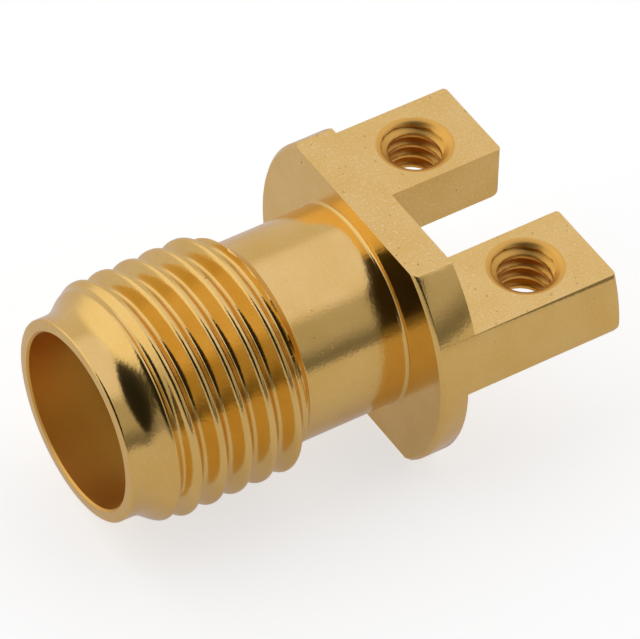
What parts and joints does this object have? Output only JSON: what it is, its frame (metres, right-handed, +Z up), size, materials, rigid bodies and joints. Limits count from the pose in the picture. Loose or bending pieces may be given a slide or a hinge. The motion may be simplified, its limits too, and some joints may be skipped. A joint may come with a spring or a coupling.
{
  "type": "sma connector",
  "caption": "Coaxial jack for the edge of a circuit board: threaded barrel, flatted round flange and two legs with tapped holes, around an insulated socket contact.",
  "frame": {"origin": "on the mating axis, at the bottom of the mating bore, which is the reference plane", "axes": "-Y points out of the mouth along the mating axis; +Z points up from the board, away from its face"},
  "size_m": [0.0084, 0.013, 0.0063],
  "materials": {
    "gold_plate": "gold plate over machined brass, satin with fine tumbling grain",
    "ptfe": "turned white PTFE",
    "contact_gold": "smooth gold plate"
  },
  "bodies": {
    "root": {"body": "gold_plate", "insulator": "ptfe", "contact": "contact_gold"}
  },
  "joints": []
}
